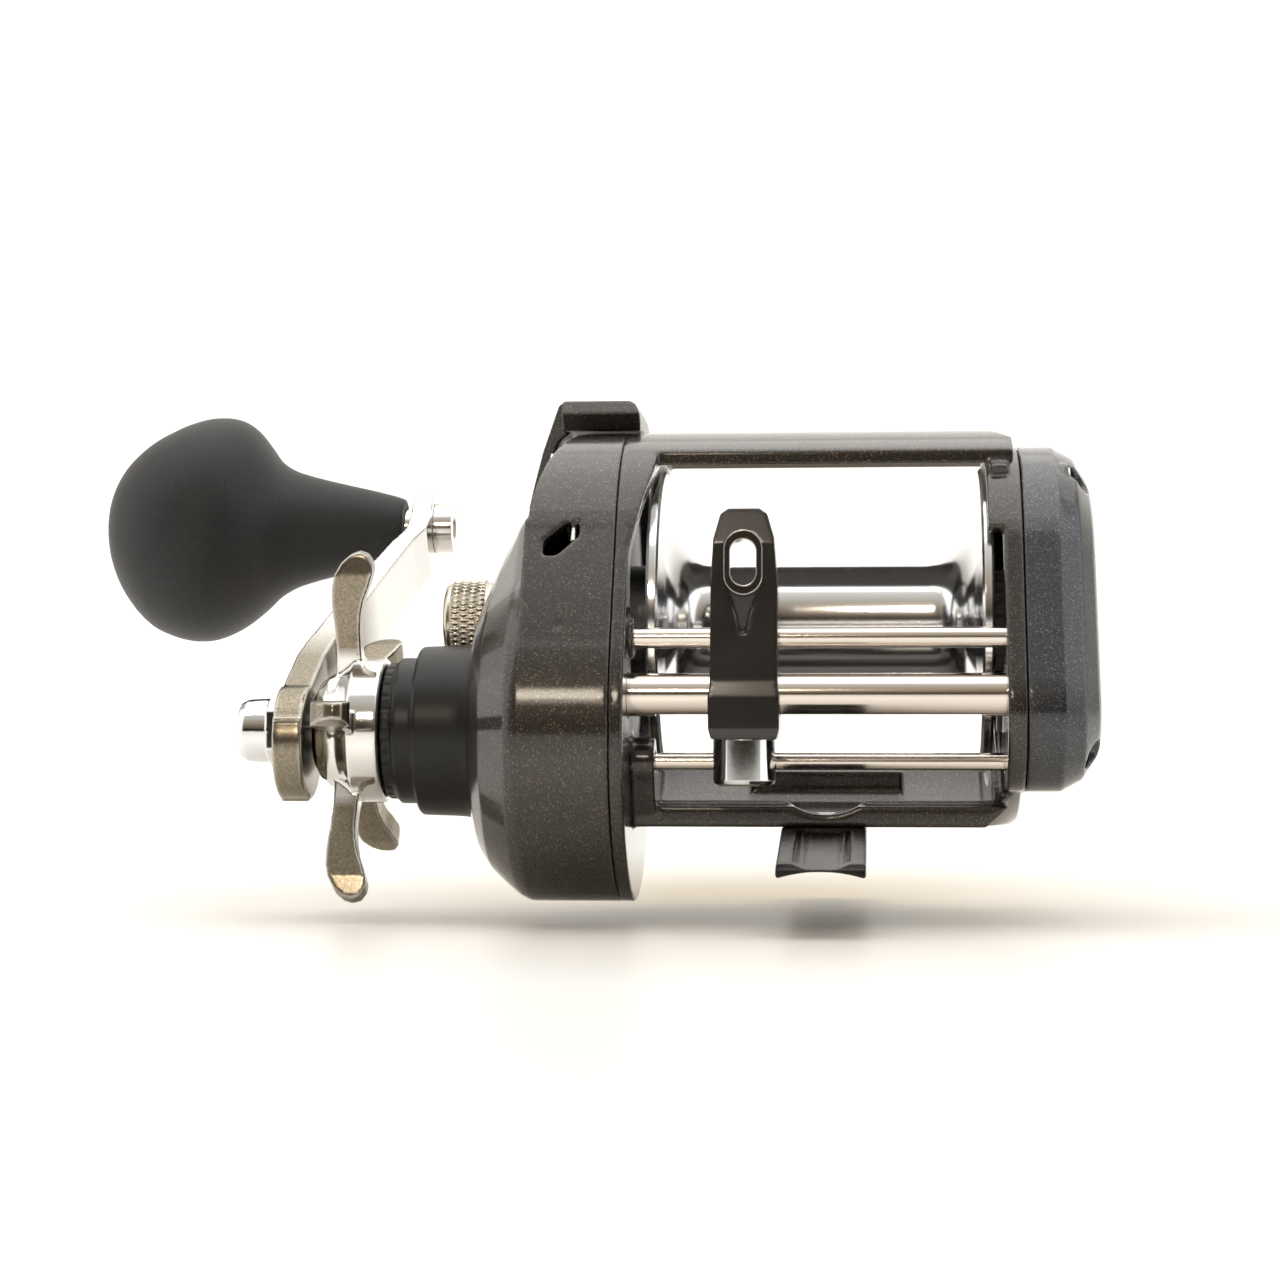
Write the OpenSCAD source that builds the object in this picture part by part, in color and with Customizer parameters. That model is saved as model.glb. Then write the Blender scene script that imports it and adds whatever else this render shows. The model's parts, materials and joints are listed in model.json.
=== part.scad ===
// Right-hand star-drag level-wind trolling reel.
// Millimetres, +Z up. X runs along the spool axis, +X away from the handle.
// -Y is the front, the side the line leaves from. The origin is the middle of
// the rod seat under the reel foot, between the two clamp-stud holes.
// The gear side is at -X, the palm side at +X. Every piece is drawn round the
// spool axis and then lifted to its height.

/* [Spool] */
// Height of the spool axis above the rod seat
axis_h = 36; // [36:0.5:38]
// Radius of the spool flanges
flange_r = 23.2; // [22.5:0.1:23.6]
// Radius of the spool arbor
arbor_r = 9; // [8:0.25:11]

/* [Gears] */
// Gear module
gear_m = 0.65; // [0.65]
// Teeth on the drive gear
drive_teeth = 50; // [50]
// Teeth on the pinion
pinion_teeth = 12; // [12]
// Teeth on the level-wind drive gear
wind_teeth = 44; // [44]
// Teeth on the worm gear
worm_teeth = 12; // [12]

/* [Controls] */
// Length of the handle arm between its two axes
arm_len = 70.4; // [60:0.1:80]
// Angle of the handle arm above the rear horizontal
arm_angle = 29.7; // [15:0.1:45]
// Radius of the star drag tips
star_r = 27.5; // [24:0.5:30]

/* [Body] */
// Radius of the gear-side cover round the spool axis
cover_r = 29; // [29]
// Radius of the lower front bulge of the gear-side cover
bulge_r = 25.4; // [25.4]
// Radius of the palm-side ring
palm_r = 26.4; // [26.4]
// Wall of the side covers
wall = 1.8; // [1.5:0.1:2]

/* [Hidden] */

// Axes parallel to the spool, each a place [Y, Z] from the spool axis
main_y = -11.1;
main_gap = gear_m * (drive_teeth + pinion_teeth) / 2;
main = [main_y, -sqrt(main_gap * main_gap - main_y * main_y)];
worm_z = -11.6;
worm_drop = worm_z - main[1];
wind_gap = gear_m * (wind_teeth + worm_teeth) / 2;
worm = [main_y - sqrt(wind_gap * wind_gap - worm_drop * worm_drop), worm_z];
knob = main + arm_len * [cos(arm_angle), sin(arm_angle)];
bulge = [-13, -16.8];
nose = [-22.5, -14];
pilot = [-27.5, -3.4];
low = [-21, -21.3];
dog = [9.5, -16];
tongue = [0, -15.8];
gear_screws = [[24.7, 9.0], [26.1, -3.2], [4, -29.5], [-13, -38.3], [-12.8, 23.0]];
palm_screws = [[11.8, 20.4], [20.4, -11.8], [-11.8, 20.4], [-27, -20]];

// Directions in the Y-Z plane from the main shaft, which set the gear mesh
to_spool = atan2(-main[1], -main_y);
to_worm = atan2(worm_drop, worm[0] - main_y);

// Clutch
yoke_angle = to_spool + 90;
post_reach = 8.2;
posts = [for (s = [-1, 1]) s * post_reach * [cos(yoke_angle), sin(yoke_angle)]];
lever_angle = -20;
stud_reach = 18.6;
opening_angle = 152.05; // round the bulge, to the opening in the cover band

// Seams between the frame and the side covers, in X
gear_seam = -30;
palm_seam = 29;

nose_r = 11.6;
main_r = 3;
main_bore = main_r + 0.05;
spool_shaft_r = 2.5;
spool_bore = spool_shaft_r + 0.05;
post_r = 1;
pilot_r = 1.5;
low_r = 1.3;
tube_r = 3.1;
bars_x = [-29.95, 27.9];
wind_x = [-35.6, -33.7]; // faces of the level-wind gears
drag_r = 12.4;
drag_pitch = 1.1;

black = [0.13, 0.13, 0.14];
steel = [0.78, 0.76, 0.73];
alu = [0.86, 0.87, 0.89];
brass = [0.8, 0.68, 0.36];
ivory = [0.9, 0.88, 0.8];
dark_grey = [0.2, 0.2, 0.2];

// ---- helpers ----
module lifted() translate([0, 0, axis_h]) children();
module at(place) translate([0, place[0], place[1]]) children();
// round bar along X; fn = 6 makes it hexagonal
module bar(x0, x1, r, place = [0, 0], fn = 64)
  translate([x0, place[0], place[1]]) rotate([0, 90, 0]) cylinder(h = x1 - x0, r = r, $fn = fn);
// ring along X
module tube(x0, x1, r, bore_r, place = [0, 0]) difference() {
  bar(x0, x1, r, place);
  bar(x0 - 1, x1 + 1, bore_r, place);
}
// (Y, Z) shape swept along X
module along_x(x0, x1)
  translate([x0, 0, 0]) rotate([90, 0, 90]) linear_extrude(height = x1 - x0) children();
// (X, Z) shape swept along Y
module along_y(y0, y1)
  translate([0, y1, 0]) rotate([90, 0, 0]) linear_extrude(height = y1 - y0) children();
// (radius, X) profile turned round an axis along X
module turned(place = [0, 0], fn = 96)
  at(place) rotate([0, 90, 0]) rotate_extrude($fn = fn) children();
// (Y, Z) band round the spool axis, cut to a polygon
module arc_band(inner_r, outer_r, sector) intersection() {
  difference() {
    circle(r = outer_r, $fn = 128);
    circle(r = inner_r, $fn = 128);
  }
  polygon(sector);
}
// children at each of the four foot screws
module at_foot_screws() for (x = [-3.4, 3.4], y = [-8, 8]) translate([x, y, 0]) children();

// points where the outer tangents of two circles touch them, a hair inside
function tangent_quad(c1, r1, c2, r2) =
  let (gap = norm(c2 - c1), dir = (c2 - c1) / gap, spread = acos((r1 - r2) / gap),
       normals = [for (s = [1, -1]) [dir[0] * cos(spread) - s * dir[1] * sin(spread),
                                     s * dir[0] * sin(spread) + dir[1] * cos(spread)]],
       in1 = r1 - 0.02, in2 = r2 - 0.02)
  [c1 + in1 * normals[0], c2 + in2 * normals[0], c2 + in2 * normals[1], c1 + in1 * normals[1]];
// circle round the spool axis joined by tangents to a second circle
module joined_circles(r1, c2, r2, fn) {
  circle(r = r1, $fn = fn);
  translate(c2) circle(r = r2, $fn = fn);
  polygon(tangent_quad([0, 0], r1, c2, r2));
}
module gear_outline(inset = 0) joined_circles(cover_r - inset, bulge, bulge_r - inset, 128);
module palm_outline(inset = 0, fn = 128)
  joined_circles(palm_r - inset, nose, nose_r - inset, fn);

// Involute gear outline. Addendum and dedendum are in modules.
function involute(a) = tan(a) * 180 / PI - a;
// one tooth as [radius, angle] points
function tooth(teeth, m, pressure, tip_r, root_r, backlash) =
  let (pitch_r = teeth * m / 2,
       base_r = pitch_r * cos(pressure),
       base_half = 90 / teeth - backlash / 2 / pitch_r * 180 / PI + involute(pressure),
       half_angle = function (r)
         r <= base_r ? base_half : base_half - involute(acos(base_r / r)),
       start_r = max(root_r, base_r),
       radii = [for (i = [0 : 4]) start_r + (tip_r - start_r) * i / 4],
       root_angle = min(half_angle(root_r), 170 / teeth))
  concat([[root_r, -root_angle]],
         [for (r = radii) [r, -half_angle(r)]],
         [for (i = [4 : -1 : 0]) [radii[i], half_angle(radii[i])]],
         [[root_r, root_angle]]);
module gear(teeth, m, pressure = 25, addendum = 0.92, dedendum = 1.2, backlash = 0.09) {
  pitch_r = teeth * m / 2;
  points = tooth(teeth, m, pressure, pitch_r + addendum * m, pitch_r - dedendum * m, backlash);
  polygon([for (i = [0 : teeth - 1]) for (p = points)
    let (a = p[1] + i * 360 / teeth) [p[0] * cos(a), p[0] * sin(a)]]);
}

// ---- frame ----
// thumb bar over the spool, with a chamfer at its +X end
module top_bar() difference() {
  along_x(-29, 28) arc_band(27.1, 29, [[0, 0], [-15, 22], [-15, 40], [18.8, 40]]);
  translate([24.6, 0, 29]) rotate([0, 29, 0]) translate([-1, -40, 0]) cube([20, 80, 30]);
}
// webs under the two ends of the top bar
module top_webs() {
  intersection() {
    along_x(-29, -24.5) arc_band(24.6, 28.95, [[0, 0], [-44, 15.4], [-40, 40], [22, 40]]);
    along_y(-60, 60) polygon([
      [-30, 6.6], [-28.6, 6.6], [-28.0, 9.4], [-26.2, 17.6],
      [-25.2, 20.8], [-24.7, 23.2], [-24.7, 40], [-30, 40]]);
  }
  along_x(23.9, 27.2) arc_band(24.6, 26.3, [[0, 0], [-36, 20], [-40, 40], [20, 36]]);
  along_x(24.6, 27.2) arc_band(26.2, 27.6, [[0, 0], [-30, 40], [20, 36]]);
}
// section of the trough, cut flat underneath
module trough_section(inner_r) intersection() {
  arc_band(inner_r, 34.8, [[0, 0], [-31, -46.5], [40, -46.5], [40, -36.5]]);
  translate([-40, -30.9]) square([80, 20]);
}
module trough() difference() {
  union() {
    along_x(-29, 27.5) trough_section(32.4);
    along_x(-29, 27.5) polygon([[-20.6, -30.9], [16.0, -30.9], [17.4, -28.9], [-20.6, -28.9]]);
    along_x(24.4, 28.9) trough_section(25.2);
    along_x(-29, -26.6) trough_section(25.2);
    // upright block on the rear of the trough
    along_x(-12.2, 11.8) polygon([
      [15.6, -28.6], [17.6, -26.7], [17.6, -23.3], [22.6, -23.3], [24.2, -24.2], [20, -29]]);
  }
  // bevel at the +X end
  turned() polygon([[35.6, 22.1], [40, 22.1], [40, 30], [29.8, 30], [30.2, 29]]);
}
// front bar of the trough, stepped at -X and chamfered at +X
module trough_front() difference() {
  translate([-29, -20.6, -30.9]) cube([57.6, 3.9, 3.1]);
  translate([-30, -22, -32]) cube([7.4, 8, 2.6]);
  translate([23.6, -40, -30.9]) rotate([0, -43, 0]) translate([-1, 0, -14])
    cube([20, 80, 14]);
}
// blocks that carry the bar ends on the gear side
module bar_blocks() {
  bar(-28.5, -24.6, 3.6, low);
  along_x(-28.5, -24.6)
    polygon([[-24.4, -22], [-17.6, -22], [-17.0, -29.4], [-20.6, -29.4]]);
  bar(-29, -27.1, 2.95, pilot);
}
module frame() lifted() color(black) difference() {
  union() {
    along_x(gear_seam, -28) gear_outline();
    along_x(26.2, palm_seam) palm_outline();
    top_bar();
    top_webs();
    trough();
    trough_front();
    bar_blocks();
    for (p = palm_screws) bar(26.2, palm_seam, 2.6, p);
  }
  // openings for the spool
  bar(-31, -24, 24.4);
  bar(26, 30, 21.4);
  // seats of the bars and of the worm tube
  bar(-31, 28, pilot_r + 0.03, pilot);
  bar(-31, 28, low_r + 0.03, low);
  bar(-31, 28.2, tube_r + 0.02, worm);
  for (p = gear_screws) bar(-31, -28.4, 0.95, p);
  for (p = palm_screws) bar(26.8, 30, 0.95, p);
  // thumb scoop in the front edge above the foot
  translate([0.3, -30, -19.9]) rotate([-90, 0, 0]) cylinder(h = 16, r = 9.2, $fn = 64);
  at_foot_screws() translate([0, 0, -40]) cylinder(h = 10.6, r = 1.3, $fn = 32);
}

foot_w = 12.4;
rod_seat_r = 20;
// Y, Z
foot_side = [
  [-48, -37.6], [44, -37.6], [44, -35.6], [30, -33.4], [20.0, -29.9], [19, -29.5],
  [-17, -29.5], [-20.7, -30.92], [-46.6, -35.0], [-48, -35.7]];
module reel_foot() lifted() color(black) difference() {
  union() {
    intersection() {
      translate([-foot_w / 2, -48, -37.5]) cube([foot_w, 92, 8]);
      along_x(-7, 7) polygon(foot_side);
    }
    translate([-foot_w / 2, -14, -37.5]) cube([foot_w, 30, 7.2]);
  }
  // clearance for the trough: its curved rear, then its flat underside
  intersection() {
    bar(-20, 20, 34.84);
    translate([-20, 16.1, -40]) cube([40, 30, 40]);
  }
  translate([-20, -20.62, -30.92]) cube([40, 36.8, 6]);
  // arched rod seat
  translate([0, -60, -axis_h - rod_seat_r]) rotate([-90, 0, 0])
    cylinder(h = 120, r = rod_seat_r, $fn = 128);
  // dished and grooved top of the front tongue
  translate([0, -21.5, -31.05]) rotate([99, 0, 0]) translate([0, 11.25, 0])
    cylinder(h = 30, r = 11.9, $fn = 96);
  for (x = [-3.6 : 1.2 : 3.6])
    translate([x, -21.2, -31.45]) rotate([98.4, 0, 0]) cylinder(h = 23.4, r = 0.36, $fn = 24);
  // clamp-stud holes, closed at the top
  for (y = [-24, 24]) translate([0, y, -40]) cylinder(h = 6.4, r = 2.1, $fn = 48);
  at_foot_screws() translate([0, 0, -40]) {
    cylinder(h = 12, r = 1.3, $fn = 32);
    cylinder(h = 5.3, r = 2.3, $fn = 32);
  }
}

module foot_screws() lifted() color(steel) at_foot_screws() difference() {
  union() {
    translate([0, 0, -35]) cylinder(h = 5, r = 1.25, $fn = 32);
    translate([0, 0, -35.7]) cylinder(h = 0.98, r = 2.2, $fn = 32);
  }
  translate([0, 0, -36.0]) cylinder(h = 0.9, r = 0.9, $fn = 6);
}

// ---- gear side ----
// Bevel of the cover edge: radius, X
bevel_curve = [
  [29.05, -36.4], [28.2, -37.6], [26.9, -38.9], [25.2, -40.1], [23.0, -41.1],
  [20.4, -41.9], [17.2, -42.6], [14.4, -43.0], [14.0, -43.0]];
// region outside the bevel, with the curve shifted
function bevel_region(dr = 0, dx = 0) = concat(
  [[40, -36.4 + dx]], [for (p = bevel_curve) [p[0] + dr, p[1] + dx]],
  [[14.0 + dr, -70], [40, -70]]);
// straight along Y, over the top
module top_bevel() along_y(-60, 60) polygon([for (p = bevel_region()) [p[1], p[0]]]);
// turned round the spool axis, for the rear sweep of the lever
module rear_bevel(dr, dx, sector) intersection() {
  turned() polygon(bevel_region(dr, dx));
  along_x(-70, -30) polygon(sector);
}

// Smooth dome that flows from the bulge to the hub and the cast-control boss.
// Discs: Y, Z, distance towards -X, thickness, radius
dome_mid_y = (bulge[0] + main_y) / 2;
dome_discs = [
  [bulge[0], bulge[1], 43.2, 0.6, bulge_r - 0.15],
  [bulge[0], bulge[1], 44.9, 0.1, 24.6],
  [dome_mid_y, bulge[1], 47, 0.1, 23.0],
  [dome_mid_y, main[1], 49.2, 0.1, 20.9],
  [main_y, main[1], 51.0, 0.1, 18.4],
  [main_y, main[1], 51.9, 0.1, 15.6],
  [0, 0, 43.2, 0.2, 17.0],
  [0, 0, 46.2, 0.1, 15.6],
  [0, 0, 48.6, 0.1, 11.5],
  [0, 0, 50.2, 0.1, 7.2]];
module cover_dome() hull() for (d = dome_discs)
  at(d) rotate([0, -90, 0]) translate([0, 0, d[2]]) cylinder(h = d[3], r = d[4], $fn = 72);
// hollow of the cover, with the screw pillars left standing
module cover_cavity() difference() {
  union() {
    difference() {
      along_x(-41.6, -29) gear_outline(wall);
      translate([1.9, 0, -1.6]) top_bevel();
      rear_bevel(-1.85, 1.6, [[0, 0], [4.4, 50], [40, 50], [45, 20.0]]);
    }
    bar(-46.6, -41, 20.4, main);
    bar(-50.1, -46, 16.6, main);
    bar(-44.6, -41, 13.6);
    bar(-47.6, -44, 10.8);
  }
  for (p = gear_screws) bar(-52, -32.45, 2.3, p);
}
// arc slot of the clutch lever stud
module lever_slot() {
  sweep = [1, -9, -18, -26];
  for (a = [sweep[0], sweep[3]])
    rotate([lever_angle + a, 0, 0]) bar(-46, -38.5, 1.46, [0, stud_reach]);
  along_x(-46, -38.5) arc_band(stud_reach - 1.5, stud_reach + 1.5, concat(
    [for (a = sweep) 30 * [-sin(lever_angle + a), cos(lever_angle + a)]], [[0, 0]]));
}
// origin on the front of the bulge, turned so that Y is radial
module at_opening()
  at(bulge + bulge_r * [cos(opening_angle), sin(opening_angle)])
    rotate([opening_angle - 180, 0, 0]) children();
// opening in the front of the band, with its tapering groove
module band_opening() at_opening() {
  along_y(-2, 4) polygon([
    [-40.4, 15.4], [-38.6, 15.4], [-35.3, 18.7], [-35.3, 21.0], [-37.3, 21.0], [-40.4, 17.9]]);
  translate([0, 0, 2.4]) rotate([6.5, 0, 0]) translate([0, 0, -2.4])
    along_y(-3, 0.25) polygon([
      [-40.8, 15.5], [-38.4, 15.9], [-35.6, 18.9], [-35.2, 18.6],
      [-35.5, 14.0], [-37.6, 2.2], [-37.8, 2.2]]);
}
module gear_side_cover() lifted() color([0.16, 0.155, 0.16]) difference() {
  union() {
    difference() {
      along_x(-43.4, gear_seam) gear_outline();
      top_bevel();
      rear_bevel(-0.25, 0, [[0, 0], [7.0, 50], [40, 50], [45, 23.9]]);
    }
    cover_dome();
    bar(-55.2, -49, 5);
  }
  cover_cavity();
  // drive shaft opening and cast-control bore
  bar(-60, -49, 9.5, main);
  bar(-56, -46, 2.6);
  bar(-48.45, -47, 4.5);
  tube(-60, -50.85, 6.95, 5);
  // screw holes with counterbores
  for (p = gear_screws) {
    bar(-60, -30, 1.1, p);
    bar(-62, -39.6, 1.95, p);
  }
  lever_slot();
  band_opening();
}

module gear_cover_screws() lifted() color(steel) for (p = gear_screws) difference() {
  union() {
    bar(-39.6, -28.6, 0.9, p);
    bar(-40.9, -39.6, 1.85, p);
  }
  bar(-41.2, -40.2, 0.9, p, fn = 6);
}

module set_plate() lifted() color([0.55, 0.55, 0.56]) difference() {
  union() {
    along_x(-32.4, -30.02) gear_outline(2.5);
    bar(-30.5, -27, 8.6);
  }
  bar(-33, -28.4, 6.52);
  bar(-29, -26, 4.2);
  bar(-33, -29, 4.02, main);
  bar(-33, -29, 3.15, worm);
  for (p = gear_screws) bar(-33, -29, 1.25, p);
  for (p = concat(posts, [dog])) bar(-33, -30.8, 1.02, p);
}

// ---- palm side ----
module palm_slab(x0, x1, inset) along_x(x0, x1) palm_outline(inset, 96);
module palm_shell() difference() {
  union() {
    along_x(palm_seam + 0.03, 34.2) palm_outline();
    hull() {
      palm_slab(34.0, 34.1, 0.03);
      palm_slab(37.1, 37.2, 1.7);
    }
    hull() {
      palm_slab(37.1, 37.2, 1.7);
      palm_slab(39.2, 39.3, 5.0);
      palm_slab(39.6, 39.7, 6.2);
    }
  }
  along_x(28, 35) palm_outline(wall);
  along_x(34, 37.4) palm_outline(4.4);
}
module palm_side_cover() lifted() color([0.2, 0.215, 0.24]) difference() {
  union() {
    palm_shell();
    bar(31.5, 38, 7.6);
    for (p = palm_screws) bar(palm_seam + 0.03, 36.2, 2.5, p);
  }
  // bearing seat and shaft end bore
  bar(31, 35.2, 5.02);
  bar(34, 36.8, 2.2);
  for (p = palm_screws) {
    bar(28, 41, 1.15, p);
    bar(34.9, 41, 2.0, p);
  }
  // slide slot of the clicker button
  translate([35, -1.6, -17.45]) cube([6, 3.2, 5.75]);
  // shallow inlay groove on the outer face
  tube(39.35, 41, 17.6, 17.0);
  // opening round the worm tube end
  bar(28, 30, 4.2, worm);
}
module palm_cover_screws() lifted() color(steel) for (p = palm_screws) difference() {
  union() {
    bar(27, 35.2, 0.9, p);
    bar(34.9, 36.4, 1.92, p);
  }
  bar(35.7, 36.7, 1.0, p, fn = 6);
}

// ---- spool ----
module spool() {
  face_r = 19.5; // where the curve down to the arbor starts
  fillet = [for (a = [0 : 15 : 90])
    [face_r - (face_r - arbor_r) * sin(a), 7.5 * (1 - cos(a))]];
  // radius, X
  gear_end = [
    [spool_bore, -24.6], [6.5, -24.6], [8.2, -25.0], [face_r, -25.0], [20.4, -26.0],
    [flange_r - 0.4, -26.0], [flange_r, -25.6], [flange_r, -24.6], [flange_r - 0.5, -24.2],
    [face_r, -24.0]];
  palm_end = [
    [face_r, 22.9], [flange_r - 0.5, 23.1], [flange_r, 23.5], [flange_r, 24.5],
    [flange_r - 0.4, 24.9], [20.4, 24.9], [face_r, 23.9], [8.2, 23.9], [8.0, 24.6],
    [spool_bore, 24.6]];
  lifted() color(alu) turned() polygon(concat(
    gear_end,
    [for (p = fillet) [p[0], -24 + p[1]]],
    [for (i = [len(fillet) - 1 : -1 : 0]) [fillet[i][0], 22.9 - fillet[i][1]]],
    palm_end));
}
clutch_pin_x = -36;
module cross_pin(length, r)
  translate([clutch_pin_x, 0, 0]) cylinder(h = length, r = r, center = true, $fn = 24);
module spool_shaft() lifted() color(steel) difference() {
  union() {
    bar(-32.2, 31, spool_shaft_r);
    bar(-55.6, -32.2, 1.6);
    bar(31, 36.6, 2.0);
  }
  cross_pin(12, 0.62);
}
module clutch_pin() lifted() color(steel) cross_pin(5.6, 0.6);
// two races, eight balls and a shield near the -X face
module bearing(x0, x1, outer_r, bore_r) {
  race = 0.7;
  tube(x0, x1, outer_r, outer_r - race);
  tube(x0, x1, bore_r + race, bore_r);
  for (a = [0 : 45 : 315])
    rotate([a, 0, 0]) translate([(x0 + x1) / 2, 0, (outer_r + bore_r) / 2])
      sphere(r = (outer_r - bore_r) / 2 - race + 0.02, $fn = 24);
  tube(x0 + 0.2, x0 + 0.35, outer_r - race + 0.01, bore_r + race - 0.01);
}
module spool_bearing_gear_side() lifted() color(steel) bearing(-31.4, -28.5, 6.48, 2.54);
module spool_bearing_palm_side() lifted() color(steel) bearing(32, 35.1, 4.98, 2.04);
module click_gear() lifted() color([0.9, 0.85, 0.7]) along_x(24.9, 27.4) difference() {
  gear(24, 0.6, pressure = 20, addendum = 0.8, dedendum = 1.0, backlash = 0.3);
  circle(r = spool_bore, $fn = 48);
}
module click_tongue() lifted() color(steel) {
  along_x(26, 27)
    polygon([[-1.2, -17], [1.2, -17], [0.9, -11.4], [0, -10.5], [-0.9, -11.4]]);
  bar(26.5, 36.4, 0.9, tongue);
}
module clicker_button() lifted() color(black) difference() {
  union() {
    translate([35.6, -1.5, -17.3]) cube([5.2, 3.0, 3.0]);
    translate([39.75, -2.2, -17.9]) cube([1.1, 4.4, 4.2]);
  }
  bar(34, 36.5, 0.92, tongue);
  // grip grooves
  for (z = [-17.4 : 0.8 : -14.1])
    translate([40.85, 0, z]) rotate([90, 0, 0]) cylinder(h = 6, r = 0.22, center = true, $fn = 16);
}

// ---- clutch ----
module pinion_gear() lifted() color(brass) difference() {
  union() {
    along_x(-42.6, -37) rotate(to_spool + 180 + 180 / pinion_teeth) gear(pinion_teeth, gear_m);
    // neck and collars that hold the yoke
    bar(-46.2, -42.5, 2.7);
    bar(-43.2, -42.5, 4.2);
    bar(-46.2, -45.2, 4.2);
    bar(-37.1, -35.2, 3.0);
  }
  bar(-47, -34, 1.64);
  // slot for the clutch pin
  translate([-36.8, -0.72, -5]) cube([3, 1.44, 10]);
}
module yoke_outline() {
  neck_r = 2.78;
  difference() {
    union() {
      rotate(yoke_angle) translate([-post_reach, -2.2]) square([2 * post_reach, 4.4]);
      circle(r = 4.6, $fn = 64);
      for (s = [-1, 1]) rotate(yoke_angle) translate([s * post_reach, 0]) circle(r = 2, $fn = 48);
    }
    circle(r = neck_r, $fn = 64);
    rotate(yoke_angle) translate([-neck_r, 0]) square([2 * neck_r, 8]);
    for (s = [-1, 1])
      rotate(yoke_angle) translate([s * post_reach, 0]) circle(r = post_r + 0.06, $fn = 48);
  }
}
module clutch_yoke() lifted() color([0.75, 0.75, 0.72]) along_x(-45.1, -43.3) yoke_outline();
module yoke_posts() lifted() color(steel) for (p = posts) bar(-47.5, -30.85, post_r, p);
// each spring is four closed coils joined by short links
module yoke_springs() {
  coil_r = 1.38;
  pitch = 0.62;
  lifted() color(steel) for (p = posts) translate([-45.34, p[0], p[1]]) {
    for (i = [0 : 3]) translate([-i * pitch, 0, 0]) rotate([0, 90, 0])
      rotate_extrude($fn = 32) translate([coil_r, 0]) circle(r = 0.2, $fn = 16);
    for (i = [0 : 2])
      bar(-i * pitch - pitch, -i * pitch, 0.14, [(i % 2 == 0 ? 1 : -1) * coil_r, 0]);
  }
}
// disc with an arm that steps towards +X and out to the stud
module clutch_cam() lifted() color([0.8, 0.8, 0.78]) difference() {
  union() {
    bar(-43.0, -42.3, 6.9);
    rotate([lever_angle, 0, 0]) {
      along_x(-43.0, -42.3) polygon([[-2.6, 5], [2.6, 5], [2.4, 13], [-2.4, 13]]);
      along_x(-43.0, -38.7) polygon([[-2.44, 11.4], [2.44, 11.4], [2.4, 12.9], [-2.4, 12.9]]);
      along_x(-39.5, -38.7) polygon([[-2.44, 11.4], [2.44, 11.4], [2.0, 20.0], [-2.0, 20.0]]);
    }
  }
  bar(-44, -41, 4.8);
  rotate([lever_angle, 0, 0]) bar(-41, -38, 1.02, [0, stud_reach]);
}
// thumb pad over the rim, concentric with the spool axis
module lever_pad() intersection() {
  along_x(-40.2, -28.2) arc_band(29.4, 34, [
    [0, 0], [-3.5, 29.1], [-5.8, 31.7], [-4.1, 34.2], [-4.1, 40], [22, 40]]);
  along_y(-60, 60) polygon([
    [-41, 10], [-41, 32.8], [-39.6, 34.1], [-30.3, 34.1],
    [-28.9, 33.2], [-28.2, 31.6], [-28.2, 10]]);
}
// bent arm down to the stud
module lever_arm() rotate([lever_angle, 0, 0]) intersection() {
  turned() polygon([
    [33.9, -40.2], [33.4, -41.0], [26.3, -43.7], [21.2, -45.2], [17.5, -46.2],
    [17.5, -44.6], [22.4, -43.4], [27.8, -41.0], [30.4, -38.0], [33.9, -38.0]]);
  along_x(-50, -30) polygon([[-3.6, 16], [3.6, 16], [6.4, 35], [-16.4, 35]]);
}
module clutch_lever() lifted() color([0.2, 0.19, 0.18]) difference() {
  union() {
    lever_pad();
    lever_arm();
  }
  rotate([lever_angle, 0, 0]) bar(-47.5, -43, 1.02, [0, stud_reach]);
}
module lever_stud() lifted() color(steel) rotate([lever_angle, 0, 0]) {
  bar(-45.9, -38.8, 1.0, [0, stud_reach]);
  bar(-43.85, -43.45, 1.55, [0, stud_reach]);
}
module slot_pin() lifted() color(steel)
  at_opening() translate([-36.3, 1.5, 18.45]) cylinder(h = 2.53, r = 0.5, $fn = 32);

// ---- drive train, round the main shaft ----
module drive_shaft() lifted() color(steel) difference() {
  union() {
    bar(-81.4, -32.5, main_r, main);
    bar(-32.5, -30.2, 2.5, main);
    bar(-87.2, -81.4, 2.6, main);
    bar(-33.6, -33.0, 5.2, main);
  }
  bar(-89, -84.4, 0.95, main);
}
module drive_gear() lifted() color([0.83, 0.7, 0.38]) difference() {
  at(main) along_x(-41.2, -37.4) rotate(to_spool) gear(drive_teeth, gear_m);
  bar(-42, -37, main_bore, main);
  // recess for the drag washers
  bar(-42, -38.4, drag_r + 0.2, main);
}
module drag_fibre_washers() lifted() color(dark_grey) for (i = [0 : 2])
  tube(-38.95 - i * drag_pitch, -38.42 - i * drag_pitch, drag_r, 3.7, main);
module drag_metal_washers() lifted() color(steel) for (i = [0 : 1])
  tube(-39.5 - i * drag_pitch, -38.97 - i * drag_pitch, drag_r, i == 0 ? main_bore : 3.7, main);
module ratchet_wheel() lifted() color(steel) difference() {
  along_x(-37.3, -36.5) translate(main) polygon([for (i = [0 : 23]) for (k = [0, 1])
    let (a = i * 15 + k * 13, r = k == 0 ? 9.0 : 10.6) [r * cos(a), r * sin(a)]]);
  bar(-38, -36, main_bore, main);
}
module ratchet_dog() lifted() color(steel) difference() {
  union() {
    along_x(-37.2, -36.4) polygon([
      dog + [-1.9, -0.9], dog + [-1.9, 0.9], dog + [-8.6, -0.1], dog + [-8.6, -1.3]]);
    bar(-37.2, -36.2, 2.2, dog);
  }
  bar(-38, -36, 1.04, dog);
}
module dog_pin() lifted() color(steel) bar(-37.6, -30.85, 1.0, dog);
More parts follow.
